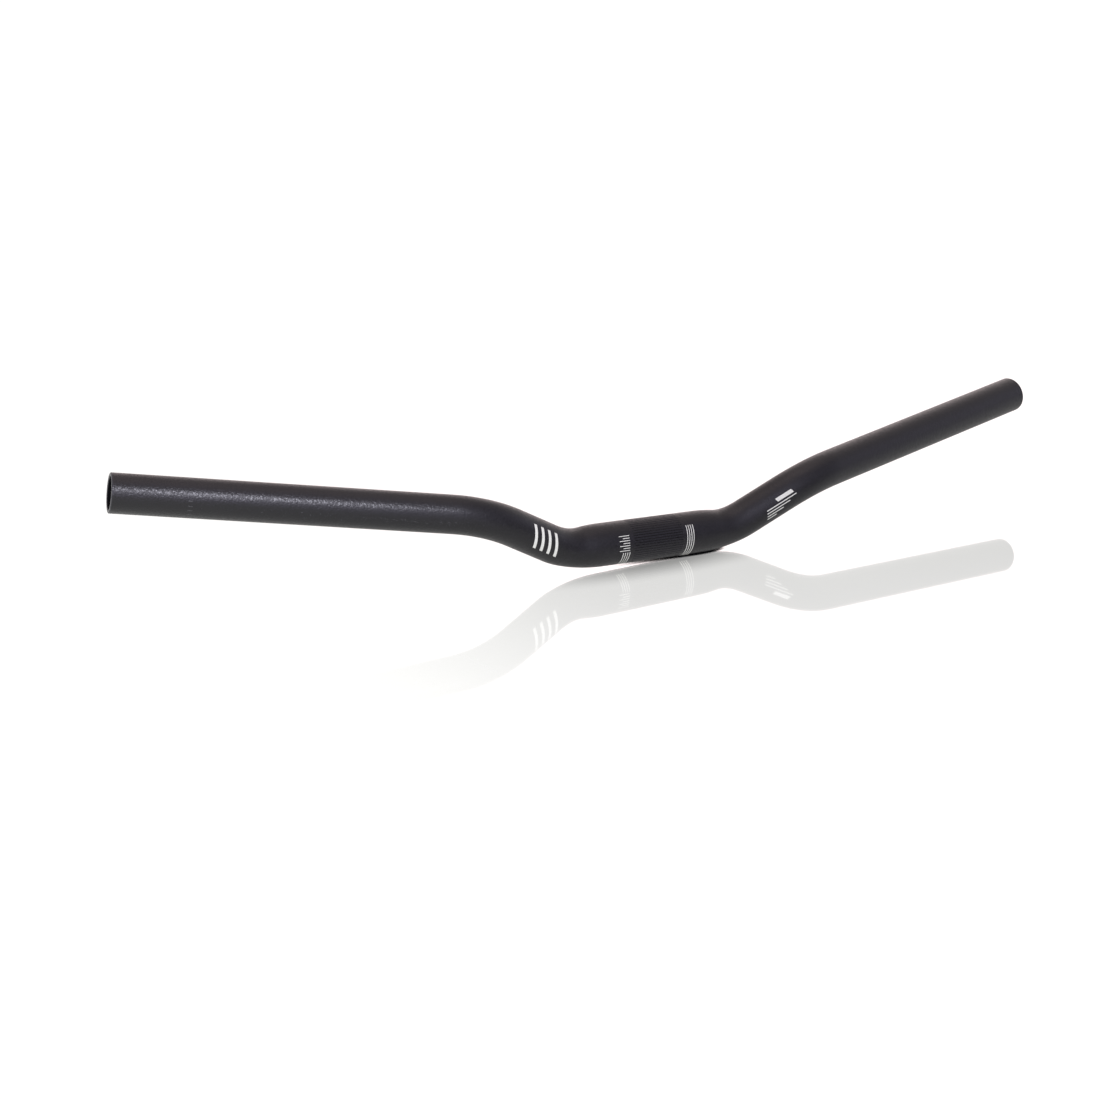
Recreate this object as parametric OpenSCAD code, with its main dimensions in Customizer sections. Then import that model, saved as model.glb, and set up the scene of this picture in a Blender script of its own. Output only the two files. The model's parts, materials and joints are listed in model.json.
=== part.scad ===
// Riser handlebar for a city or trekking bicycle, bent from one butted aluminium tube.
// The origin is the middle of the clamp. +X runs along the clamp axis, +Y points back to the rider, +Z is up.
// Each half leaves the clamp, climbs through the lower bend, and turns back and level in the upper bend.

/* [Overall shape] */
// Width of the bar between the centres of its two ends
bar_width = 630; // [560:5:760]
// Height of the tube's axis above the clamp axis, where the grips begin
rise = 29; // [22:0.5:50]
// Angle at which the rise sections climb away from the clamp axis
kick_angle = 27; // [22:0.5:34]
// Angle at which the grips point back towards the rider
back_sweep = 15.5; // [6:0.5:24]
// Angle at which the grips point up
up_sweep = 3.5; // [0:0.5:8]
// How far the bar is rolled forward in its stem
forward_lean = 11.5; // [-20:0.5:20]

/* [Clamp] */
// Diameter that the stem holds
clamp_d = 25.4; // [24:0.1:32]
// Length of the full clamp diameter
clamp_length = 66; // [50:1:84]
// Length of the straight middle, from one lower bend to the other
straight_length = 90; // [78:1:120]

/* [Tube] */
// Diameter of the bends and the grips
grip_d = 22.2; // [20.5:0.1:23.5]
// Wall at the clamp
clamp_wall = 2.6; // [1.6:0.1:3.6]
// Wall in the bends
bend_wall = 2.4; // [1.6:0.1:3.4]
// Wall at the ends of the grips
grip_wall = 2; // [1.4:0.1:2.6]
// How far the bend wall runs on into each grip
butt_run = 30; // [10:5:60]
// Length over which the wall thins down in each grip
butt_taper = 40; // [20:5:60]
// Size of the chamfers on the cut ends, inside and out
end_chamfer = 0.4; // [0.2:0.05:0.6]

/* [Bends] */
// Radius of the lower bends, on the tube's axis
lower_bend_r = 52; // [42:1:70]
// Radius of the upper bends, on the tube's axis
upper_bend_r = 84; // [60:1:110]

/* [Knurl] */
// Length of the band of fine grooves in the middle of the clamp
knurl_length = 34; // [16:1:46]
// Number of grooves round the clamp
knurl_count = 52; // [36:2:60]
// Depth of each groove
groove_depth = 0.25; // [0.1:0.05:0.4]

/* [Hidden] */
$fn = 96;
// how far a cutting shape runs past the face that it cuts
past = 1;
// the tube draws slightly slimmer in its bends, and each straight runs this far over them
bend_draw = 0.01;
overlap = 0.05;
satin_black = [0.14, 0.14, 0.15];

// radii of the tube's outside and of its bore
clamp_r = clamp_d / 2;
grip_r = grip_d / 2;
clamp_bore_r = clamp_r - clamp_wall;
bend_bore_r = grip_r - bend_wall;
grip_bore_r = grip_r - grip_wall;

// directions of the right half before it leans: the clamp, the rise section and the grip
clamp_way = [1, 0, 0];
rise_way = [cos(kick_angle), 0, sin(kick_angle)];
grip_way = unit([1, tan(back_sweep), tan(up_sweep)]);

// the upper bend turns from the rise section to the grip in a plane of its own
upper_turn = acos(rise_way * grip_way);
rise_normal = [-sin(kick_angle), 0, cos(kick_angle)];
upper_twist = atan2(-grip_way.y, grip_way * rise_normal);

// the straights between the bends take up what the bends leave of the rise and the width
lower_travel = bend_travel(clamp_way, rise_way, lower_bend_r);
upper_travel = bend_travel(rise_way, grip_way, upper_bend_r);
rise_length = (rise - lower_travel.z - upper_travel.z) / rise_way.z;
grip_start = [straight_length / 2, 0, 0] + lower_travel + rise_length * rise_way + upper_travel;
grip_length = (bar_width / 2 - grip_start.x) / grip_way.x;

function unit(v) = v / norm(v);

// The step from one end of a bend to the other, between two directions.
function bend_travel(from, to, bend_r) =
    let (turn = acos(from * to), inward = unit(to - (to * from) * from))
    bend_r * (sin(turn) * from + (1 - cos(turn)) * inward);

// A turned shape along +X, from its profile of [radius, distance along] points.
module turned(profile) {
    rotate([0, 90, 0]) rotate_extrude() polygon(profile);
}

// A round bar that leaves the origin along +X and turns up towards +Z.
module elbow(r, bend_r, turn) {
    translate([0, 0, bend_r])
        rotate([90, 90, 0])
            rotate_extrude(angle = turn)
                translate([bend_r, 0]) circle(r = r - bend_draw);
}

// Puts its children at the far end of an elbow, heading the way it leaves.
module after_elbow(bend_r, turn) {
    translate([bend_r * sin(turn), 0, bend_r * (1 - cos(turn))])
        rotate([0, -turn, 0]) children();
}

// Half of the swaged middle as a profile, radius along X and length along Y. Two equal arcs
// that meet in the middle of the shoulder lead from the clamp radius to the tube's.
module middle_profile(r_clamp, r_tube) {
    half_clamp = clamp_length / 2;
    half_straight = straight_length / 2;
    shoulder = half_straight - half_clamp;
    drop = r_clamp - r_tube;
    arc_r = (shoulder * shoulder + drop * drop) / (4 * drop);
    square([r_tube, half_straight + overlap]);
    square([r_clamp, half_clamp]);
    intersection() {
        translate([r_clamp - arc_r, half_clamp]) circle(r = arc_r);
        square([r_clamp, half_clamp + shoulder / 2]);
    }
    difference() {
        square([r_clamp - drop / 2, half_straight]);
        translate([r_tube + arc_r, half_straight]) circle(r = arc_r);
    }
}

// The straight middle of the bar, both halves, along X.
module middle(r_clamp, r_tube) {
    rotate([0, 90, 0]) rotate_extrude() {
        middle_profile(r_clamp, r_tube);
        mirror([0, 1]) middle_profile(r_clamp, r_tube);
    }
}

// The bends and straights of the right half, with the grip as the children.
module right_half(r) {
    translate([straight_length / 2, 0, 0]) {
        elbow(r, lower_bend_r, kick_angle);
        after_elbow(lower_bend_r, kick_angle) {
            turned([[0, -overlap], [r, -overlap], [r, rise_length + overlap], [0, rise_length + overlap]]);
            translate([rise_length, 0, 0]) rotate([upper_twist, 0, 0]) {
                elbow(r, upper_bend_r, upper_turn);
                after_elbow(upper_bend_r, upper_turn) children();
            }
        }
    }
}

// The outside of a grip, with its cut end chamfered.
module grip_outside() {
    turned([
        [0, -overlap],
        [grip_r, -overlap],
        [grip_r, grip_length - end_chamfer],
        [grip_r - end_chamfer, grip_length],
        [0, grip_length]
    ]);
}

// The bore of a grip: the thick wall of the bends runs on, then thins down to the end.
module grip_bore() {
    turned([
        [0, -overlap],
        [bend_bore_r, -overlap],
        [bend_bore_r, butt_run],
        [grip_bore_r, butt_run + butt_taper],
        [grip_bore_r, grip_length - end_chamfer],
        [grip_bore_r + end_chamfer + past, grip_length + past],
        [0, grip_length + past]
    ]);
}

// The bar as if it were solid.
module outside() {
    middle(clamp_r, grip_r);
    for (side = [0, 1]) mirror([side, 0, 0]) right_half(grip_r) grip_outside();
}

// What is hollow: one bore that follows the tube from end to end.
module bore() {
    middle(clamp_bore_r, bend_bore_r);
    for (side = [0, 1]) mirror([side, 0, 0]) right_half(bend_bore_r) grip_bore();
}

// The axial grooves that stop the bar turning in its stem, each a square bar on its edge.
module knurl() {
    groove_side = clamp_wall;
    for (i = [0 : knurl_count - 1])
        rotate([i * 360 / knurl_count, 0, 0])
            translate([-knurl_length / 2, 0, clamp_r - groove_depth])
                rotate([45, 0, 0]) cube([knurl_length, groove_side, groove_side]);
}

module handlebar() {
    color(satin_black)
        rotate([forward_lean, 0, 0])
            difference() {
                outside();
                bore();
                knurl();
            }
}

handlebar();
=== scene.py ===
"""Riser handlebar: a smooth modelled tube with its printed marks, in a plain white studio."""
import json
from math import atan2, cos, pi, radians, sin, tan

import bmesh
import bpy
from bpy.props import FloatProperty, FloatVectorProperty, IntProperty, PointerProperty
from mathutils import Euler, Matrix, Vector


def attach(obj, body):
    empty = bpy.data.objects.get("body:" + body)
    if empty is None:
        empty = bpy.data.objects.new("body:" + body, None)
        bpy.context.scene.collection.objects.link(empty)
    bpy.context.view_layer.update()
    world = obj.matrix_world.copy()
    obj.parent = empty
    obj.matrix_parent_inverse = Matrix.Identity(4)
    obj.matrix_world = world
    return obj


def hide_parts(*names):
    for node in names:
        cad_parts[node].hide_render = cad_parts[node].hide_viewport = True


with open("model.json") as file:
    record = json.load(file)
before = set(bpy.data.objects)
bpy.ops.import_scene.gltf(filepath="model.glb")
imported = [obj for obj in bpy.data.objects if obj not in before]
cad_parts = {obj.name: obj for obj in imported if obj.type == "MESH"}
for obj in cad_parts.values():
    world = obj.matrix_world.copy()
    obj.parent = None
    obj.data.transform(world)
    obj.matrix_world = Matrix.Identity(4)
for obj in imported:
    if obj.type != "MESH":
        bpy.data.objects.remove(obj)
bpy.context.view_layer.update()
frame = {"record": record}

bl_info = {
    "name": "Riser handlebar",
    "version": (1, 0, 0),
    "blender": (4, 5, 0),
    "location": "3D View > Sidebar > Handlebar",
    "description": "Models a riser handlebar with its finish, printed marks and studio",
    "category": "Object",
}

MM = 0.001
BODY = "root"
NODE = "handlebar"
MOUNTS = {mount["name"]: mount for mount in frame["record"]["mounts"]}
CLAMP = MOUNTS["stem_clamp"]
GRIP = MOUNTS["grip_right"]
END_BORE = MOUNTS["end_bore_right"]

COLD = (1.03, 0.985, 1.22)
WARM = (1.14, 0.985, 0.99)
PLAIN = (1.0, 1.0, 0.98)
# Soft patches of light on the studio's walls: azimuth from the front towards the right, height, both
# in degrees, strength and tint
SKY_PATCHES = (
    (0, 90, 1.12, WARM), (0, 50, 0.33, COLD), (45, 50, 0.13, COLD), (90, 50, 0.09, WARM),
    (135, 50, 0.10, WARM), (180, 50, 0.35, WARM), (0, 14, 0.90, COLD), (72, 14, 0.61, COLD),
    (108, 14, 0.52, PLAIN), (144, 14, 1.15, WARM), (180, 14, 0.24, WARM), (288, 14, 0.85, COLD),
    (324, 14, 1.85, COLD),
)
PATCH_SHARPNESS = 10.0


def length_prop(name, description, default, **more):
    """A length in metres, shown in the scene's own unit."""
    return FloatProperty(name=name, description=description, default=default, unit="LENGTH",
                         subtype="DISTANCE", precision=5, **more)


def angle_prop(name, description, default):
    """An angle, given here in degrees."""
    return FloatProperty(name=name, description=description, default=radians(default),
                         unit="ROTATION", subtype="ANGLE")


def share_prop(name, description, default, high=1.0):
    """A plain number from nothing to a top value."""
    return FloatProperty(name=name, description=description, default=default, min=0.0, max=high,
                         subtype="FACTOR")


def colour_prop(name, description, default):
    """A linear colour."""
    return FloatVectorProperty(name=name, description=description, default=default, min=0.0,
                               max=1.0, size=3, subtype="COLOR")


class TubeSizes(bpy.types.PropertyGroup):
    """Sizes of the bent tube."""
    bar_width: length_prop("Width", "Between the centres of the two cut ends", 0.63)
    rise: length_prop("Rise", "Height of the tube's axis where the grips begin", 0.029)
    kick: angle_prop("Kick", "Climb of the rise sections away from the clamp", 27)
    back_sweep: angle_prop("Back sweep", "How far the grips point back", 15.5)
    up_sweep: angle_prop("Up sweep", "How far the grips point up", 3.5)
    lean: angle_prop("Forward lean", "How far the bar is rolled in its stem", 11.5)
    clamp_r: length_prop("Clamp radius", "Outside radius that the stem holds",
                         CLAMP["dims"]["r_mm"] * MM)
    clamp_half: length_prop("Half clamp", "Half the length of the full clamp diameter",
                            CLAMP["dims"]["length_mm"] / 2 * MM)
    straight_half: length_prop("Half straight", "Half the straight middle", 0.045)
    grip_r: length_prop("Tube radius", "Outside radius of the bends and grips",
                        GRIP["dims"]["r_mm"] * MM)
    taper_end: length_prop("Taper end", "Where the swage ends, along the axis from the middle", 0.06)
    lower_bend_r: length_prop("Lower bend", "Radius of the lower bends on the axis", 0.052)
    upper_bend_r: length_prop("Upper bend", "Radius of the upper bends on the axis", 0.084)
    clamp_bore_r: length_prop("Clamp bore", "Radius of the bore under the clamp", 0.0101)
    bend_bore_r: length_prop("Bend bore", "Radius of the bore in the bends", 0.0087)
    end_bore_r: length_prop("End bore", "Radius of the bore at the cut ends",
                            END_BORE["dims"]["r_mm"] * MM)
    butt_run: length_prop("Butt run", "How far the thick wall runs into each grip", 0.03)
    butt_taper: length_prop("Butt taper", "Length over which the wall thins down", 0.04)
    end_chamfer: length_prop("End chamfer", "Chamfer of the cut ends", 0.0004)


class KnurlSizes(bpy.types.PropertyGroup):
    """Sizes of the grooved band that stops the bar turning."""
    half_length: length_prop("Half length", "Half the length of the grooved band", 0.017)
    depth: length_prop("Depth", "Depth of each groove", 0.00025)
    run_out: length_prop("Run out", "Length of the step that ends each groove", 0.00002)
    count: IntProperty(name="Grooves", description="Number of grooves round the clamp",
                       default=52, min=12, max=90)


class PrintSizes(bpy.types.PropertyGroup):
    """Sizes and places of the printed marks."""
    ink: length_prop("Ink thickness", "Thickness of the printed ink", 0.00003)
    lift: length_prop("Lift", "Gap that keeps the ink clear of the tube", 0.00003)
    line_width: length_prop("Line width", "Width of the lines round the clamp", 0.00045)
    line_first: length_prop("First line", "Place of the innermost line round the clamp", 0.02)
    line_pitch: length_prop("Line pitch", "Distance from one line to the next", 0.0015)
    line_count: IntProperty(name="Lines", description="Lines on each side of the clamp",
                            default=4, min=1, max=8)
    tick_width: length_prop("Tick width", "Width of the marks of the roll scale", 0.0004)
    tick_long: length_prop("Long tick", "Length of the long marks of the roll scale", 0.0070)
    tick_short: length_prop("Short tick", "Length of the short marks of the roll scale", 0.0046)
    tick_inner: length_prop("Tick start", "Where the marks begin, from the middle", 0.0202)
    tick_first: angle_prop("First tick", "Angle of the top mark from the top of the bar", 46.5)
    tick_pitch: angle_prop("Tick pitch", "Angle from one mark to the next", 6.6)
    tick_count: IntProperty(name="Ticks", description="Marks of the roll scale", default=7,
                            min=1, max=15)


class FinishLook(bpy.types.PropertyGroup):
    """Colours and gloss of the object's finishes."""
    black: colour_prop("Anodised black", "Colour of the satin black tube", (0.0050, 0.0047, 0.0062))
    black_rough: share_prop("Black roughness", "Roughness of the satin black tube", 0.36)
    # Painted highlight: a lighter colour on the rims of the cut ends stands for their bright rim
    # highlight.
    rim_highlight_colour: colour_prop("Rim highlight", "Colour painted on the rims of the ends as their highlight", (0.10, 0.10, 0.105))
    white: colour_prop("Ink white", "Colour of the printed marks", (0.80, 0.82, 0.72))
    stamp: colour_prop("Stamped ink", "Colour of the faint ticks on the grip", (0.045, 0.045, 0.046))


class StudioLook(bpy.types.PropertyGroup):
    """Light and floor of the studio."""
    floor_tilt: angle_prop("Floor tilt", "Slope of the floor along the bar", 1.655)
    floor_radius: length_prop("Floor radius", "Radius of the round floor", 14.0)
    floor_glow: share_prop("Floor glow", "Light that the floor throws back on the bar", 0.58, 4.0)
    sky: share_prop("Sky level", "Strength of the light from the walls", 1.0, 10.0)
    # The sheet carries the painted contact shadow under the bar; the mirror floor lies this far below
    # it.
    sheet: length_prop("Sheet", "Depth of the mirror below the clear sheet that the bar lies on", 0.0006)
    softbox: FloatProperty(name="Softbox power", description="Power of the softbox over the left grip",
                           default=0.205, min=0.0, unit="POWER")


def settings():
    """The sizes and looks that the sidebar shows."""
    return bpy.context.scene.handlebar_settings


# Mesh helpers

def leave_edit_mode():
    """Back to object mode with nothing selected."""
    if bpy.context.mode != "OBJECT":
        bpy.ops.object.mode_set(mode="OBJECT")
    bpy.ops.object.select_all(action="DESELECT")


def start_edit(piece):
    """Opens one piece in edit mode with all of it selected."""
    leave_edit_mode()
    piece.select_set(True)
    bpy.context.view_layer.objects.active = piece
    bpy.ops.object.mode_set(mode="EDIT")
    bpy.ops.mesh.select_mode(type="VERT")
    bpy.ops.mesh.select_all(action="SELECT")


def only(piece):
    """Makes one piece the only selected and the active one, in object mode."""
    leave_edit_mode()
    piece.select_set(True)
    bpy.context.view_layer.objects.active = piece


def select_where(piece, test):
    """Selects the vertices whose place passes the test, with the edges and faces between them."""
    mesh = bmesh.from_edit_mesh(piece.data)
    chosen = 0
    for vert in mesh.verts:
        vert.select = test(vert.co)
        chosen += vert.select
    mesh.select_flush_mode()
    bmesh.update_edit_mesh(piece.data)
    if not chosen:
        raise RuntimeError("nothing to select on " + piece.name)
    return chosen


def selected_centre(piece):
    """Mean place of the selected vertices."""
    places = [vert.co for vert in bmesh.from_edit_mesh(piece.data).verts if vert.select]
    return sum(places, Vector()) / len(places)


def new_piece(name):
    """Names the piece that was just added, and its mesh."""
    piece = bpy.context.object
    piece.name = name
    piece.data.name = name
    return piece


def bake_place(piece):
    """Moves the piece's place, turn and scale into its mesh."""
    only(piece)
    bpy.ops.object.transform_apply(location=True, rotation=True, scale=True)


def apply_modifier(piece, kind, **values):
    """Adds a modifier with these values and applies it."""
    only(piece)
    modifier = piece.modifiers.new(kind.title(), kind)
    for key, value in values.items():
        setattr(modifier, key, value)
    bpy.ops.object.modifier_apply(modifier=modifier.name)


def finish_piece(piece, material):
    """Gives a finished piece its material and its body."""
    piece.data.materials.clear()
    piece.data.materials.append(material)
    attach(piece, BODY)


# Shape of the bar before it leans

def bar_directions(sizes):
    """Directions of the right half: the clamp, the rise section and the grip."""
    clamp_way = Vector((1, 0, 0))
    rise_way = Vector((cos(sizes.kick), 0, sin(sizes.kick)))
    grip_way = Vector((1, tan(sizes.back_sweep), tan(sizes.up_sweep))).normalized()
    return clamp_way, rise_way, grip_way


def bend_travel(start_way, end_way, bend_r):
    """The step from one end of a bend to the other."""
    turn = start_way.angle(end_way)
    inward = (end_way - end_way.dot(start_way) * start_way).normalized()
    return bend_r * (sin(turn) * start_way + (1 - cos(turn)) * inward)


def straight_lengths(sizes):
    """Lengths of the rise straight and of the grip."""
    clamp_way, rise_way, grip_way = bar_directions(sizes)
    lower = bend_travel(clamp_way, rise_way, sizes.lower_bend_r)
    upper = bend_travel(rise_way, grip_way, sizes.upper_bend_r)
    rise_run = (sizes.rise - lower.z - upper.z) / rise_way.z
    start = Vector((sizes.straight_half, 0, 0)) + lower + rise_run * rise_way + upper
    return rise_run, (sizes.bar_width / 2 - start.x) / grip_way.x


def shoulder_radius(big, small, start, end):
    """The radius down the swaged shoulder, from the distance walked: an S of two arcs."""
    def radius(distance):
        share = min(max((distance - start) / (end - start), 0), 1)
        bow = 2 * share * share if share < 0.5 else 1 - 2 * (1 - share) ** 2
        return big + (small - big) * bow
    return radius


class RingWalk:
    """Carries the selected ring of vertices along a path by extrude, resize and spin."""

    def __init__(self, piece, place, heading, radius):
        self.piece = piece
        self.place = place.copy()
        self.heading = heading.copy()
        self.radius = radius
        self.walked = 0.0

    def resize(self, radius):
        """Scales the ring about its own centre."""
        share = radius / self.radius
        bpy.ops.transform.resize(value=(share, share, share), center_override=self.place)
        self.radius = radius

    def run(self, length, steps=1, radius_at=None):
        """Goes straight on in equal steps, with the radius that each distance walked has."""
        for step in range(steps):
            shift = self.heading * (length / steps)
            bpy.ops.mesh.extrude_region_move(TRANSFORM_OT_translate={"value": shift})
            self.place += shift
            self.walked += shift.length
            if radius_at:
                self.resize(radius_at(self.walked))

    def step_to(self, length, radius):
        """One step on that ends at another radius."""
        self.run(length, 1, lambda walked: radius)

    def bend(self, heading, bend_r, steps, radius_at=None):
        """Turns to a new heading along an arc, in equal steps."""
        inward = (heading - heading.dot(self.heading) * self.heading).normalized()
        centre = self.place + bend_r * inward
        axis = self.heading.cross(heading).normalized()
        turn = self.heading.angle(heading)
        spoke = self.place - centre
        for step in range(1, steps + 1):
            bpy.ops.mesh.spin(steps=1, angle=-turn / steps, center=centre, axis=axis)
            self.place = centre + Matrix.Rotation(turn * step / steps, 3, axis) @ spoke
            self.walked += bend_r * turn / steps
            if radius_at:
                self.resize(radius_at(self.walked))
        self.heading = heading.copy()
        if (selected_centre(self.piece) - self.place).length > 0.01 * MM:
            raise RuntimeError("a bend of " + self.piece.name + " went astray")


def ring_of(piece_name, count, radius):
    """A ring of vertices round the X axis at the origin, in edit mode."""
    leave_edit_mode()
    bpy.ops.mesh.primitive_circle_add(vertices=count, radius=radius, fill_type="NOTHING",
                                      location=(0, 0, 0), rotation=(0, pi / 2, 0))
    piece = new_piece(piece_name)
    bake_place(piece)
    start_edit(piece)
    return piece


def groove_place(place, count):
    """Where a point lies round the X axis, in steps of a quarter of the groove pitch."""
    return atan2(place.y, place.z) / (2 * pi) * count * 4


def press_grooves(piece, knurl, clamp_r):
    """Moves the vertices of the grooved band in, and draws each groove's edges together."""
    band = knurl.half_length - knurl.run_out / 2
    edge_turn = knurl.depth / clamp_r - 2 * pi / (4 * knurl.count)

    def in_band(place, quarter):
        on_skin = abs(place.yz.length - clamp_r) < 0.05 * MM
        steps = groove_place(place, knurl.count) % 4
        near = min(abs(steps - quarter), abs(steps - quarter - 4), abs(steps - quarter + 4))
        return place.x < band and on_skin and near < 0.2

    start_edit(piece)
    for quarter, turn in ((1, edge_turn), (3, -edge_turn)):
        select_where(piece, lambda place: in_band(place, quarter))
        mesh = bmesh.from_edit_mesh(piece.data)
        sample = next(vert for vert in mesh.verts if vert.select)
        before, key = groove_place(sample.co, knurl.count), sample.index
        bpy.ops.transform.rotate(value=turn, orient_axis="X", orient_type="GLOBAL",
                                 center_override=(0, 0, 0))
        mesh = bmesh.from_edit_mesh(piece.data)
        mesh.verts.ensure_lookup_table()
        moved = groove_place(mesh.verts[key].co, knurl.count) - before
        wanted = (1 if quarter == 1 else -1) * edge_turn / (2 * pi) * knurl.count * 4
        if abs(moved - wanted) > 0.01:
            raise RuntimeError("the groove edges turned %.3f, not %.3f" % (moved, wanted))
    select_where(piece, lambda place: in_band(place, 0))
    share = (clamp_r - knurl.depth) / clamp_r
    bpy.ops.transform.resize(value=(1, share, share), center_override=(0, 0, 0))


# Shader helpers

def link(tree, source, target):
    tree.links.new(source, target)


def add_node(tree, kind, inputs=None, **values):
    """Adds a node, sets its values, and sets or links its inputs."""
    made = tree.nodes.new(kind)
    for key, value in values.items():
        setattr(made, key, value)
    for key, value in (inputs or {}).items():
        if isinstance(value, bpy.types.NodeSocket):
            tree.links.new(value, made.inputs[key])
        else:
            made.inputs[key].default_value = value
    return made


def math_node(tree, operation, *values, **more):
    """A Math node's output, from numbers or sockets."""
    return add_node(tree, "ShaderNodeMath", dict(enumerate(values)), operation=operation,
                    **more).outputs[0]


def new_group(name, inputs, outputs):
    """A shader node group with these sockets, and its input and output nodes."""
    group = bpy.data.node_groups.new(name, "ShaderNodeTree")
    for label, kind, default in inputs:
        socket = group.interface.new_socket(label, in_out="INPUT", socket_type=kind)
        if default is not None:
            socket.default_value = default
    for label, kind in outputs:
        group.interface.new_socket(label, in_out="OUTPUT", socket_type=kind)
    return group, add_node(group, "NodeGroupInput").outputs, add_node(group, "NodeGroupOutput").inputs


def blasted_grain():
    """Fine blasted grain with slow mottling: a mask, a roughness and a height."""
    name = "Blasted grain"
    if name in bpy.data.node_groups:
        return bpy.data.node_groups[name]
    group, given, out = new_group(name, [
        ("Vector", "NodeSocketVector", None),
        ("Grain Scale", "NodeSocketFloat", 1000.0),
        ("Mottle Scale", "NodeSocketFloat", 260.0),
        ("Roughness Low", "NodeSocketFloat", 0.38),
        ("Roughness High", "NodeSocketFloat", 0.46),
    ], [("Mottle", "NodeSocketFloat"), ("Roughness", "NodeSocketFloat"), ("Height", "NodeSocketFloat")])
    grain = add_node(group, "ShaderNodeTexNoise", {
        "Vector": given["Vector"], "Scale": given["Grain Scale"], "Detail": 1.0, "Roughness": 0.5})
    mottle = add_node(group, "ShaderNodeTexNoise", {
        "Vector": given["Vector"], "Scale": given["Mottle Scale"], "Detail": 4.0, "Roughness": 0.65})
    spread = add_node(group, "ShaderNodeMapRange", {
        "Value": mottle.outputs[0], "From Min": 0.3, "From Max": 0.7})
    rough = add_node(group, "ShaderNodeMapRange", {
        "Value": grain.outputs[0], "From Min": 0.4, "From Max": 0.6,
        "To Min": given["Roughness Low"], "To Max": given["Roughness High"]})
    height = math_node(group, "MULTIPLY_ADD", mottle.outputs[0], 0.1, grain.outputs[0])
    link(group, spread.outputs[0], out["Mottle"])
    link(group, rough.outputs[0], out["Roughness"])
    link(group, height, out["Height"])
    return group


def ink_wear():
    """Uneven printing: thin places of the ink as a mask."""
    name = "Ink wear"
    if name in bpy.data.node_groups:
        return bpy.data.node_groups[name]
    group, given, out = new_group(name, [
        ("Vector", "NodeSocketVector", None),
        ("Scale", "NodeSocketFloat", 1500.0),
        ("Threshold", "NodeSocketFloat", 0.62),
    ], [("Thin", "NodeSocketFloat")])
    noise = add_node(group, "ShaderNodeTexNoise", {
        "Vector": given["Vector"], "Scale": given["Scale"], "Detail": 3.0, "Roughness": 0.7})
    edge = math_node(group, "ADD", given["Threshold"], 0.12)
    thin = add_node(group, "ShaderNodeMapRange", {
        "Value": noise.outputs[0], "From Min": given["Threshold"], "From Max": edge})
    link(group, thin.outputs[0], out["Thin"])
    return group


def end_rim_highlight():
    """Painted rim highlight at the cut ends: a mask that rises over the last stretch of each grip."""
    name = "End rub"
    if name in bpy.data.node_groups:
        return bpy.data.node_groups[name]
    group, given, out = new_group(name, [
        ("Vector", "NodeSocketVector", None),
        ("Axis", "NodeSocketVector", None),
        ("Start", "NodeSocketFloat", 0.0),
        ("End", "NodeSocketFloat", 1.0),
    ], [("Highlight Mask", "NodeSocketFloat")])
    parts = add_node(group, "ShaderNodeSeparateXYZ", {0: given["Vector"]}).outputs
    folded = add_node(group, "ShaderNodeCombineXYZ", {
        0: math_node(group, "ABSOLUTE", parts[0]), 1: parts[1], 2: parts[2]})
    along = add_node(group, "ShaderNodeVectorMath", {0: folded.outputs[0], 1: given["Axis"]},
                     operation="DOT_PRODUCT")
    noise = add_node(group, "ShaderNodeTexNoise", {
        "Vector": given["Vector"], "Scale": 900.0, "Detail": 3.0, "Roughness": 0.6})
    shaken = math_node(group, "MULTIPLY_ADD", noise.outputs[0], 0.0002, along.outputs["Value"])
    rim_highlight_mask = add_node(group, "ShaderNodeMapRange", {
        "Value": shaken, "From Min": given["Start"], "From Max": given["End"]})
    link(group, rim_highlight_mask.outputs[0], out["Highlight Mask"])
    return group


def new_material(name):
    """A node material with its tree, its Principled shader and its Object coordinates."""
    material = bpy.data.materials.new(name)
    material.use_nodes = True
    tree = material.node_tree
    tree.nodes.clear()
    shader = add_node(tree, "ShaderNodeBsdfPrincipled")
    output = add_node(tree, "ShaderNodeOutputMaterial", {"Surface": shader.outputs[0]})
    place = add_node(tree, "ShaderNodeTexCoord").outputs["Object"]
    return material, tree, shader, output, place


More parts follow.
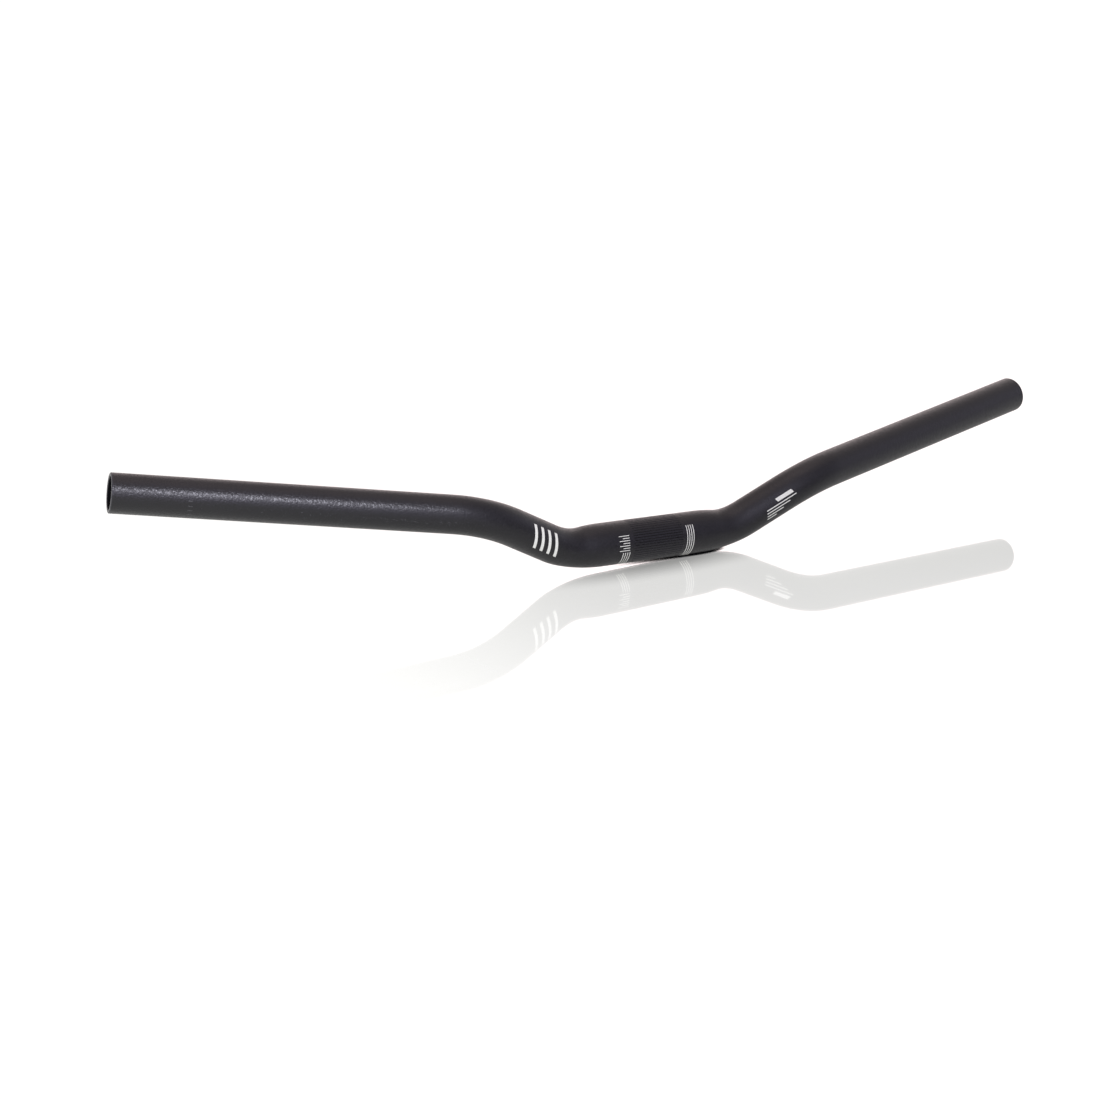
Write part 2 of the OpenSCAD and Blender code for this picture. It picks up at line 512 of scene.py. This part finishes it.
def satin_black():
    """Blasted and anodised aluminium, satin black, with a painted highlight: a lighter colour on the
    rims of the cut ends.
    """
    name = "blasted_anodised_black"
    if name in bpy.data.materials:
        return bpy.data.materials[name]
    look = settings().finish
    sizes = settings().tube
    material, tree, shader, output, place = new_material(name)
    grain = add_node(tree, "ShaderNodeGroup", node_tree=blasted_grain())
    link(tree, place, grain.inputs["Vector"])
    grain.inputs["Roughness Low"].default_value = look.black_rough - 0.07
    grain.inputs["Roughness High"].default_value = look.black_rough + 0.07
    dark = [value * 0.86 for value in look.black]
    light = [value * 1.16 for value in look.black]
    tone = add_node(tree, "ShaderNodeMix", {
        "Factor": grain.outputs["Mottle"], "A": (*dark, 1), "B": (*light, 1)}, data_type="RGBA")
    rim_highlight_mask = add_node(tree, "ShaderNodeGroup", node_tree=end_rim_highlight())
    link(tree, place, rim_highlight_mask.inputs["Vector"])
    axis = Vector(GRIP["axis"])
    full_end = Vector(GRIP["pos_m"]).dot(axis)
    rim_highlight_mask.inputs["Axis"].default_value = axis
    rim_highlight_mask.inputs["Start"].default_value = full_end - 0.0002
    rim_highlight_mask.inputs["End"].default_value = full_end + 0.0008
    # Painted highlight: the rims of the cut ends turn to the lighter colour by this mask.
    with_rim_highlight = add_node(tree, "ShaderNodeMix", {
        "Factor": rim_highlight_mask.outputs[0], "A": tone.outputs["Result"], "B": (*look.rim_highlight_colour, 1)},
        data_type="RGBA")
    bump = add_node(tree, "ShaderNodeBump", {
        "Height": grain.outputs["Height"], "Distance": 0.00026, "Strength": 0.6})
    link(tree, with_rim_highlight.outputs["Result"], shader.inputs["Base Color"])
    link(tree, grain.outputs["Roughness"], shader.inputs["Roughness"])
    link(tree, bump.outputs[0], shader.inputs["Normal"])
    return material


def drawn_bore():
    """The bore as drawn: anodised black but not blasted, with faint lines along the tube, and painted
    shade that makes it darker than the skin's black.
    """
    name = "drawn_bore_black"
    if name in bpy.data.materials:
        return bpy.data.materials[name]
    look = settings().finish
    material, tree, shader, output, place = new_material(name)
    stretched = add_node(tree, "ShaderNodeMapping", {"Vector": place, "Scale": (0.02, 1, 1)})
    lines = add_node(tree, "ShaderNodeTexNoise", {
        "Vector": stretched.outputs[0], "Scale": 2500.0, "Detail": 2.0, "Roughness": 0.6})
    rough = add_node(tree, "ShaderNodeMapRange", {
        "Value": lines.outputs[0], "From Min": 0.3, "From Max": 0.7, "To Min": 0.5, "To Max": 0.7})
    # Painted shade: the bore's colour runs from 0.4 of the black up to it, darker than the skin, for the
    # shade inside the tube; the noise lays this out in faint drawn lines.
    dark = [value * 0.4 for value in look.black]
    tone = add_node(tree, "ShaderNodeMix", {
        "Factor": lines.outputs[0], "A": (*dark, 1), "B": (*look.black, 1)}, data_type="RGBA")
    bump = add_node(tree, "ShaderNodeBump", {
        "Height": lines.outputs[0], "Distance": 0.00002, "Strength": 0.3})
    link(tree, tone.outputs["Result"], shader.inputs["Base Color"])
    link(tree, rough.outputs[0], shader.inputs["Roughness"])
    link(tree, bump.outputs[0], shader.inputs["Normal"])
    shader.inputs["Specular IOR Level"].default_value = 0.15
    return material


def print_ink(name, colour, under, threshold):
    """Screen-printed ink that thins in places to what is under it."""
    if name in bpy.data.materials:
        return bpy.data.materials[name]
    material, tree, shader, output, place = new_material(name)
    wear = add_node(tree, "ShaderNodeGroup", node_tree=ink_wear())
    link(tree, place, wear.inputs["Vector"])
    wear.inputs["Threshold"].default_value = threshold
    tone = add_node(tree, "ShaderNodeMix", {
        "Factor": wear.outputs[0], "A": (*colour, 1), "B": (*under, 1)}, data_type="RGBA")
    rough = add_node(tree, "ShaderNodeMapRange", {
        "Value": wear.outputs[0], "To Min": 0.55, "To Max": 0.42})
    grain = add_node(tree, "ShaderNodeGroup", node_tree=blasted_grain())
    link(tree, place, grain.inputs["Vector"])
    bump = add_node(tree, "ShaderNodeBump", {
        "Height": grain.outputs["Height"], "Distance": 0.00002, "Strength": 0.3})
    link(tree, tone.outputs["Result"], shader.inputs["Base Color"])
    link(tree, rough.outputs[0], shader.inputs["Roughness"])
    link(tree, bump.outputs[0], shader.inputs["Normal"])
    return material


def white_ink():
    """The white of the marks at the clamp and on the bends."""
    look = settings().finish
    return print_ink("screen_print_white", look.white, [0.45 * value for value in look.white], 0.62)


def stamped_ink():
    """The faint grey of the ticks on the grip."""
    look = settings().finish
    return print_ink("pad_print_grey", look.stamp, look.black, 0.5)


# Printed marks

def lean_matrix():
    """The roll of the bar in its stem."""
    return Matrix.Rotation(settings().tube.lean, 4, "X")


def clamp_angle(place):
    """Angle of a point round the clamp, from the top towards the front."""
    return atan2(-place.y, place.z)


def arc_line(name, place_x, width, radius, start, end):
    """A line printed round the clamp, from one angle to another."""
    piece = ring_of(name, 360, radius)
    bpy.ops.transform.translate(value=(place_x - width / 2, 0, 0))
    bpy.ops.mesh.extrude_region_move(TRANSFORM_OT_translate={"value": (width, 0, 0)})
    select_where(piece, lambda place: not start <= clamp_angle(place) <= end)
    bpy.ops.mesh.delete(type="VERT")
    leave_edit_mode()
    return piece


def flat_mark(name, size, slant=0.0, cuts=(1, 1)):
    """A flat printed bar in the XY plane, leaning along X by its slant, cut into a grid."""
    leave_edit_mode()
    bpy.ops.mesh.primitive_grid_add(x_subdivisions=cuts[0], y_subdivisions=cuts[1], size=1,
                                    location=(0, 0, 0))
    piece = new_piece(name)
    start_edit(piece)
    bpy.ops.transform.resize(value=(size[0], size[1], 1), center_override=(0, 0, 0))
    if slant:
        rows = sorted({round(vert.co.y, 7) for vert in bmesh.from_edit_mesh(piece.data).verts})
        for row in rows:
            select_where(piece, lambda place: abs(place.y - row) < 1e-6)
            bpy.ops.transform.translate(value=(slant * row, 0, 0))
    leave_edit_mode()
    return piece


def join(pieces, name):
    """Joins pieces into one."""
    leave_edit_mode()
    for piece in pieces:
        piece.select_set(True)
    bpy.context.view_layer.objects.active = pieces[0]
    bpy.ops.object.join()
    return new_piece(name)


def weld_outward(piece, ink):
    """Gives printed marks their thickness, away from the tube."""
    apply_modifier(piece, "SOLIDIFY", thickness=ink, offset=1.0, use_even_offset=True)


def turn_outward(piece, centre_line):
    """Flips the faces of an open sheet that look towards the tube's axis."""
    start_edit(piece)
    mesh = bmesh.from_edit_mesh(piece.data)
    inward = [face for face in mesh.faces
              if face.normal.dot(face.calc_center_median() - centre_line(face.calc_center_median())) < 0]
    for face in mesh.faces:
        face.select = False
    for face in inward:
        face.select = True
    bmesh.update_edit_mesh(piece.data)
    if inward:
        bpy.ops.mesh.flip_normals()
    leave_edit_mode()


def wrap_marks(piece, bar, centre, along, facing, lift, ink):
    """Lays flat marks on the tube: X runs along it, Z faces out, and each point drops onto it."""
    side = facing.cross(along).normalized()
    out = along.cross(side).normalized()
    turn = Matrix((along, side, out)).transposed().to_4x4()
    only(piece)
    piece.matrix_world = Matrix.Translation(centre + 0.02 * out) @ turn
    bpy.context.view_layer.update()
    apply_modifier(piece, "SHRINKWRAP", target=bar, wrap_method="PROJECT", use_project_z=True,
                   use_negative_direction=True, use_positive_direction=False, offset=lift,
                   wrap_mode="ABOVE_SURFACE", project_limit=0.05)
    heights = [vert.co.z for vert in piece.data.vertices]
    if max(heights) > -0.004:
        raise RuntimeError(piece.name + " doesn't reach the tube")
    weld_outward(piece, ink)
    bake_place(piece)


# Operators

def sky_way(azimuth, height):
    """Direction of a light: azimuth from the front towards the right, and height, in degrees."""
    azimuth, height = radians(azimuth), radians(height)
    return Vector((sin(azimuth) * cos(height), -cos(azimuth) * cos(height), sin(height)))


class HANDLEBAR_OT_studio(bpy.types.Operator):
    """Adds the pale floor, the soft light and the camera at the photograph's angle"""
    bl_idname = "handlebar.studio"
    bl_label = "Studio"

    def execute(self, context):
        look = settings().studio
        sizes = settings().tube
        leave_edit_mode()
        touch = Vector((sizes.clamp_half, 0, -sizes.clamp_r))
        # The second disc is a clear sheet that carries the painted contact shadow under the bar.
        for name, radius, depth, material in (
                ("studio_floor", look.floor_radius, look.sheet, self.floor_material()),
                ("studio_sheet", 0.3, 0.0, self.shadow_sheet_material())):
            bpy.ops.mesh.primitive_circle_add(
                vertices=96, radius=radius, fill_type="NGON", location=touch - Vector((0, 0, depth)),
                rotation=(0, -look.floor_tilt, 0))
            floor = new_piece(name)
            bake_place(floor)
            floor.data.materials.append(material)
        self.light_world(context.scene)
        self.add_softbox("softbox", Vector((-0.26, 0.03, 0.04)), azimuth=0.2, elevation=34.0,
                         distance=0.8, size=(0.25, 0.085), power=look.softbox)
        self.add_camera(context.scene)
        context.scene.view_settings.view_transform = "Standard"
        return {"FINISHED"}

    def floor_material(self):
        """A white table that glows and mirrors what is near."""
        look = settings().studio
        material, tree, shader, output, place = new_material("white_table")
        camera_ray = add_node(tree, "ShaderNodeLightPath").outputs["Is Camera Ray"]
        where = add_node(tree, "ShaderNodeSeparateXYZ", {0: place}).outputs[0]
        given = add_node(tree, "ShaderNodeMapRange", {
            "Value": where, "From Min": -0.28, "From Max": -0.05, "To Min": 1.5 * look.floor_glow,
            "To Max": look.floor_glow})
        glow = add_node(tree, "ShaderNodeMix", {
            "Factor": camera_ray, "A": given.outputs[0], "B": 1.04}, data_type="FLOAT")
        shader.inputs["Base Color"].default_value = (0.05, 0.05, 0.05, 1)
        shader.inputs["Roughness"].default_value = 0.9
        shader.inputs["Specular IOR Level"].default_value = 0.0
        shader.inputs["Emission Color"].default_value = (1, 1, 0.98, 1)
        link(tree, glow.outputs[0], shader.inputs["Emission Strength"])
        gloss = add_node(tree, "ShaderNodeBsdfGlossy", {"Color": (1, 1, 1, 1), "Roughness": 0.02})
        fade = add_node(tree, "ShaderNodeMapRange", {
            "Value": where, "From Min": -0.3, "From Max": -0.04}, interpolation_type="SMOOTHSTEP")
        reach = add_node(tree, "ShaderNodeVectorMath", {0: place, 1: (0.12, -0.05, 0)},
                         operation="DISTANCE")
        near = add_node(tree, "ShaderNodeMapRange", {
            "Value": reach.outputs["Value"], "From Min": 0.6, "From Max": 1.1, "To Min": 1.5,
            "To Max": 0.0}, interpolation_type="SMOOTHSTEP")
        fresnel = add_node(tree, "ShaderNodeFresnel", {"IOR": 1.5})
        mirror = math_node(tree, "MULTIPLY", fade.outputs[0], fresnel.outputs[0])
        mirror = math_node(tree, "MULTIPLY", mirror, near.outputs[0])
        beside = add_node(tree, "ShaderNodeVectorMath", {0: place, 1: (0.3, 1, 0)},
                          operation="MULTIPLY")
        beside = add_node(tree, "ShaderNodeVectorMath", {0: beside.outputs[0]}, operation="LENGTH")
        close = add_node(tree, "ShaderNodeMapRange", {
            "Value": beside.outputs["Value"], "From Min": 0.004, "From Max": 0.036, "To Min": 2.2,
            "To Max": 1.0}, interpolation_type="SMOOTHSTEP")
        mirror = math_node(tree, "MULTIPLY", mirror, close.outputs[0])
        mix = add_node(tree, "ShaderNodeMixShader", {
            0: mirror, 1: shader.outputs[0], 2: gloss.outputs[0]})
        link(tree, mix.outputs[0], output.inputs["Surface"])
        return material

    def shadow_sheet_material(self):
        """A clear sheet with a painted contact shadow: a dark diffuse surface where ambient occlusion
        finds the bar close above it, clear elsewhere.
        """
        material, tree, shader, output, place = new_material("clear_sheet")
        # Painted contact shadow: occlusion from the bar above blends the clear sheet into a dark diffuse
        # surface; faces seen from below stay clear.
        contact_occlusion = add_node(tree, "ShaderNodeAmbientOcclusion", {"Distance": 0.0018}, samples=8)
        dark = add_node(tree, "ShaderNodeMapRange", {
            "Value": contact_occlusion.outputs["AO"], "From Min": 0.42, "From Max": 1.0, "To Min": 1.0,
            "To Max": 0.0})
        dark = math_node(tree, "POWER", dark.outputs[0], 2.0)
        under = add_node(tree, "ShaderNodeNewGeometry").outputs["Backfacing"]
        dark = math_node(tree, "MULTIPLY", dark, math_node(tree, "SUBTRACT", 1.0, under))
        clear = add_node(tree, "ShaderNodeBsdfTransparent", {"Color": (1, 1, 1, 1)})
        shader.inputs["Base Color"].default_value = (0.02, 0.02, 0.022, 1)
        shader.inputs["Roughness"].default_value = 0.9
        shader.inputs["Specular IOR Level"].default_value = 0.0
        painted_contact_shadow = add_node(tree, "ShaderNodeMixShader", {
            0: dark, 1: clear.outputs[0], 2: shader.outputs[0]})
        gloss = add_node(tree, "ShaderNodeBsdfGlossy", {"Color": (1, 1, 1, 1), "Roughness": 0.02})
        fresnel = add_node(tree, "ShaderNodeFresnel", {"IOR": 1.5})
        mix = add_node(tree, "ShaderNodeMixShader", {
            0: math_node(tree, "MULTIPLY", fresnel.outputs[0], 0.12), 1: painted_contact_shadow.outputs[0],
            2: gloss.outputs[0]})
        link(tree, mix.outputs[0], output.inputs["Surface"])
        return material

    def light_world(self, scene):
        """White behind everything for the camera; soft patches of light for the bar."""
        look = settings().studio
        world = bpy.data.worlds.new("studio_world")
        scene.world = world
        world.use_nodes = True
        tree = world.node_tree
        tree.nodes.clear()
        way = add_node(tree, "ShaderNodeTexCoord").outputs["Generated"]
        total = (0, 0, 0)
        for azimuth, height, strength, tint in SKY_PATCHES:
            facing = add_node(tree, "ShaderNodeVectorMath", {0: way, 1: sky_way(azimuth, height)},
                              operation="DOT_PRODUCT").outputs["Value"]
            off_axis = math_node(tree, "SUBTRACT", facing, 1.0)
            patch = math_node(tree, "EXPONENT", math_node(tree, "MULTIPLY", off_axis, PATCH_SHARPNESS))
            total = add_node(tree, "ShaderNodeVectorMath", {
                0: patch, 1: [strength * value for value in tint], 2: total},
                operation="MULTIPLY_ADD").outputs[0]
        light = add_node(tree, "ShaderNodeBackground", {"Color": total, "Strength": look.sky})
        seen = add_node(tree, "ShaderNodeBackground", {"Color": (1, 1, 1, 1), "Strength": 1.0})
        camera_ray = add_node(tree, "ShaderNodeLightPath").outputs["Is Camera Ray"]
        mix = add_node(tree, "ShaderNodeMixShader", {
            0: camera_ray, 1: light.outputs[0], 2: seen.outputs[0]})
        add_node(tree, "ShaderNodeOutputWorld", {"Surface": mix.outputs[0]})

    def add_softbox(self, name, target, azimuth, elevation, distance, size, power):
        """A rectangular area light that faces a point, from an azimuth off the front and a height."""
        leave_edit_mode()
        way = sky_way(azimuth, elevation)
        turn = way.to_track_quat("Z", "Y").to_euler()
        bpy.ops.object.light_add(type="AREA", location=target + distance * way, rotation=turn)
        lamp = bpy.context.object
        lamp.name = name
        lamp.data.name = name
        lamp.data.shape = "RECTANGLE"
        lamp.data.size, lamp.data.size_y = size
        lamp.data.spread = radians(48)
        lamp.data.energy = power
        lamp.data.color = (1.0, 0.99, 1.13)
        return lamp

    def add_camera(self, scene):
        """The photograph's viewpoint."""
        leave_edit_mode()
        turn = Euler([radians(angle) for angle in (74.47199, -1.42399, -30.64555)])
        bpy.ops.object.camera_add(location=(-0.755165, -1.143457, 0.371589), rotation=turn)
        camera = bpy.context.object
        camera.name = "photo_camera"
        camera.data.name = "photo_camera"
        camera.data.sensor_width = 36
        camera.data.lens = 78.7038
        camera.data.clip_start = 0.01
        camera.data.clip_end = 60
        scene.camera = camera


class HANDLEBAR_OT_tube(bpy.types.Operator):
    """Models the bent tube, open at both ends, with its grooved clamp"""
    bl_idname = "handlebar.tube"
    bl_label = "Tube"

    def execute(self, context):
        sizes = settings().tube
        knurl = settings().knurl
        piece = ring_of("handlebar_tube", 4 * knurl.count, sizes.clamp_r)
        for material in (satin_black(), drawn_bore()):
            piece.data.materials.append(material)
        self.walk_half(piece, sizes, knurl)
        press_grooves(piece, knurl, sizes.clamp_r)
        leave_edit_mode()
        apply_modifier(piece, "MIRROR", use_axis=(True, False, False), merge_threshold=0.01 * MM)
        start_edit(piece)
        bpy.ops.mesh.remove_doubles(threshold=0.001 * MM)
        bpy.ops.mesh.normals_make_consistent(inside=False)
        leave_edit_mode()
        piece.matrix_world = lean_matrix()
        bake_place(piece)
        bpy.ops.object.shade_smooth_by_angle(angle=radians(28))
        self.check_end(piece, sizes)
        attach(piece, BODY)
        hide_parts(NODE)
        return {"FINISHED"}

    def walk_half(self, piece, sizes, knurl):
        """The right half: out along the skin, round the cut end and back along the bore."""
        clamp_way, rise_way, grip_way = bar_directions(sizes)
        rise_run, grip_run = straight_lengths(sizes)
        shoulder = sizes.straight_half - sizes.clamp_half
        skin = shoulder_radius(sizes.clamp_r, sizes.grip_r, sizes.clamp_half, sizes.taper_end)
        chamfer = sizes.end_chamfer
        walk = RingWalk(piece, Vector((0, 0, 0)), clamp_way, sizes.clamp_r)
        walk.run(knurl.half_length - knurl.run_out, 3)
        walk.run(knurl.run_out)
        walk.run(sizes.clamp_half - knurl.half_length, 3)
        walk.run(shoulder, 9, skin)
        walk.bend(rise_way, sizes.lower_bend_r, 18, skin)
        walk.run(rise_run, 5)
        walk.bend(grip_way, sizes.upper_bend_r, 16)
        walk.run(grip_run - chamfer, 14)
        walk.step_to(chamfer, sizes.grip_r - chamfer)
        walk.step_to(0, sizes.end_bore_r + chamfer)
        walk.heading = -grip_way
        walk.step_to(chamfer, sizes.end_bore_r)
        skin_count = len(bmesh.from_edit_mesh(piece.data).verts)
        walk.run(grip_run - chamfer - sizes.butt_run - sizes.butt_taper, 4)
        walk.step_to(sizes.butt_taper, sizes.bend_bore_r)
        walk.run(sizes.butt_run, 2)
        walk.bend(-rise_way, sizes.upper_bend_r, 12)
        walk.run(rise_run, 2)
        walk.bend(-clamp_way, sizes.lower_bend_r, 10)
        walk.run(shoulder, 6, shoulder_radius(sizes.bend_bore_r, sizes.clamp_bore_r, walk.walked,
                                              walk.walked + shoulder))
        walk.run(sizes.clamp_half, 1)
        if abs(walk.place.x) > 0.001 * MM or walk.place.length > 0.01 * MM:
            raise RuntimeError("the bore doesn't come back to the middle")
        mesh = bmesh.from_edit_mesh(piece.data)
        for face in mesh.faces:
            face.select = any(vert.index >= skin_count for vert in face.verts)
        bmesh.update_edit_mesh(piece.data)
        piece.active_material_index = 1
        bpy.ops.object.material_slot_assign()

    def check_end(self, piece, sizes):
        """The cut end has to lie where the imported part's grip ends."""
        axis = Vector(GRIP["axis"])
        reach = max(vert.co.dot(axis) for vert in piece.data.vertices)
        wanted = Vector(GRIP["pos_m"]).dot(axis) + sizes.end_chamfer
        if abs(reach - wanted) > 0.05 * MM:
            raise RuntimeError("the cut end is %.3f mm off" % ((reach - wanted) / MM))


class HANDLEBAR_OT_clamp_marks(bpy.types.Operator):
    """Prints the lines round the clamp and the roll scale beside them"""
    bl_idname = "handlebar.clamp_marks"
    bl_label = "Clamp marks"

    def execute(self, context):
        marks = settings().marks
        radius = settings().tube.clamp_r + marks.lift
        lines = []
        for side, start in ((-1, radians(92)), (1, radians(38.5))):
            for i in range(marks.line_count):
                place = side * (marks.line_first + i * marks.line_pitch)
                lines.append(arc_line("clamp_line", place, marks.line_width, radius, start,
                                      radians(147)))
        ticks = [self.tick(i, marks, radius) for i in range(marks.tick_count)]
        for name, parts in (("clamp_lines", lines), ("roll_scale", ticks)):
            piece = join(parts, name)
            turn_outward(piece, lambda place: Vector((place.x, 0, 0)))
            weld_outward(piece, marks.ink)
            piece.matrix_world = lean_matrix()
            bake_place(piece)
            finish_piece(piece, white_ink())
        return {"FINISHED"}

    def tick(self, index, marks, radius):
        """One mark of the roll scale, long and short by turns."""
        length = marks.tick_short if index % 2 else marks.tick_long
        piece = flat_mark("scale_tick", (length, marks.tick_width), cuts=(1, 2))
        angle = marks.tick_first + index * marks.tick_pitch
        place = Vector((-marks.tick_inner - length / 2, 0, radius))
        piece.matrix_world = Matrix.Rotation(angle, 4, "X") @ Matrix.Translation(place)
        bake_place(piece)
        return piece


class HANDLEBAR_OT_side_marks(bpy.types.Operator):
    """Prints the plain bars on the left bend and the plain lines on the right rise section"""
    bl_idname = "handlebar.side_marks"
    bl_label = "Side marks"

    def execute(self, context):
        sizes = settings().tube
        marks = settings().marks
        bar = bpy.data.objects["handlebar_tube"]
        rise_way = bar_directions(sizes)[1]
        lean = lean_matrix()
        left_along = lean @ Vector((rise_way.x, 0, -rise_way.z))
        right_along = lean @ rise_way
        front = lean @ Vector((0, -1, 0.1))
        bars = []
        for i in range(4):
            piece = flat_mark("slant_bar", (0.0021, 0.0125), slant=-0.42, cuts=(3, 24))
            piece.location.x = (i - 1.5) * 0.0054
            bake_place(piece)
            bars.append(piece)
        left = join(bars, "bend_bars")
        wrap_marks(left, bar, lean @ Vector((-0.0777, 0, 0.0119)), left_along, front, marks.lift,
                   marks.ink)
        lines = []
        for size, place in (((0.012, 0.0021), (0.0045, 0.0040)), ((0.022, 0.0006), (0.0010, 0.0014)),
                            ((0.017, 0.0006), (-0.0020, -0.0004)), ((0.012, 0.0006), (-0.0050, -0.0022)),
                            ((0.007, 0.0006), (-0.0080, -0.0040))):
            piece = flat_mark("rise_line", size, slant=-0.42, cuts=(24, 4))
            piece.location = (*place, 0)
            bake_place(piece)
            lines.append(piece)
        right = join(lines, "rise_lines")
        wrap_marks(right, bar, lean @ Vector((0.0865, 0, 0.0158)), right_along, front, marks.lift,
                   marks.ink)
        for piece in (left, right):
            finish_piece(piece, white_ink())
        return {"FINISHED"}


class HANDLEBAR_OT_grip_ticks(bpy.types.Operator):
    """Stamps a short column of faint ticks on the left grip"""
    bl_idname = "handlebar.grip_ticks"
    bl_label = "Grip ticks"

    def execute(self, context):
        sizes = settings().tube
        marks = settings().marks
        bar = bpy.data.objects["handlebar_tube"]
        grip_way = bar_directions(sizes)[2]
        lean = lean_matrix()
        along = lean @ Vector((grip_way.x, -grip_way.y, -grip_way.z))
        ticks = []
        for i in range(4):
            piece = flat_mark("grip_tick", (0.0026, 0.0007), cuts=(6, 3))
            piece.location.y = (1.5 - i) * 0.0027
            bake_place(piece)
            ticks.append(piece)
        column = join(ticks, "grip_ticks")
        middle = lean @ Vector((-0.2742, 0.0450, 0.0378))
        wrap_marks(column, bar, middle, along, lean @ Vector((0, -1, -0.12)), marks.lift, marks.ink)
        finish_piece(column, stamped_ink())
        return {"FINISHED"}


class HANDLEBAR_PT_panel(bpy.types.Panel):
    """The handlebar's sizes, finishes and steps"""
    bl_idname = "HANDLEBAR_PT_panel"
    bl_label = "Riser handlebar"
    bl_space_type = "VIEW_3D"
    bl_region_type = "UI"
    bl_category = "Handlebar"

    def draw(self, context):
        layout = self.layout
        for title, group in (("Tube", "tube"), ("Knurl", "knurl"), ("Printed marks", "marks"),
                             ("Finishes", "finish"), ("Studio", "studio")):
            box = layout.box()
            box.label(text=title)
            values = getattr(context.scene.handlebar_settings, group)
            for key in values.__annotations__:
                box.prop(values, key)
        for operator in OPERATORS:
            layout.operator(operator.bl_idname)


class HandlebarSettings(bpy.types.PropertyGroup):
    """Everything that the sidebar shows."""
    tube: PointerProperty(type=TubeSizes, name="Tube", description="Sizes of the tube")
    knurl: PointerProperty(type=KnurlSizes, name="Knurl", description="Sizes of the grooves")
    marks: PointerProperty(type=PrintSizes, name="Marks", description="Sizes of the prints")
    finish: PointerProperty(type=FinishLook, name="Finish", description="Colours and gloss")
    studio: PointerProperty(type=StudioLook, name="Studio", description="Light and floor")


OPERATORS = (HANDLEBAR_OT_studio, HANDLEBAR_OT_tube, HANDLEBAR_OT_clamp_marks,
             HANDLEBAR_OT_side_marks, HANDLEBAR_OT_grip_ticks)
CLASSES = (TubeSizes, KnurlSizes, PrintSizes, FinishLook, StudioLook, HandlebarSettings,
           *OPERATORS, HANDLEBAR_PT_panel)


def register():
    for item in CLASSES:
        bpy.utils.register_class(item)
    bpy.types.Scene.handlebar_settings = PointerProperty(
        type=HandlebarSettings, name="Handlebar", description="Sizes and looks of the handlebar")


def unregister():
    del bpy.types.Scene.handlebar_settings
    for item in reversed(CLASSES):
        bpy.utils.unregister_class(item)


def main():
    register()
    bpy.ops.handlebar.studio()
    bpy.ops.handlebar.tube()
    bpy.ops.handlebar.clamp_marks()
    bpy.ops.handlebar.side_marks()
    bpy.ops.handlebar.grip_ticks()
    leave_edit_mode()


if __name__ == "__main__":
    main()
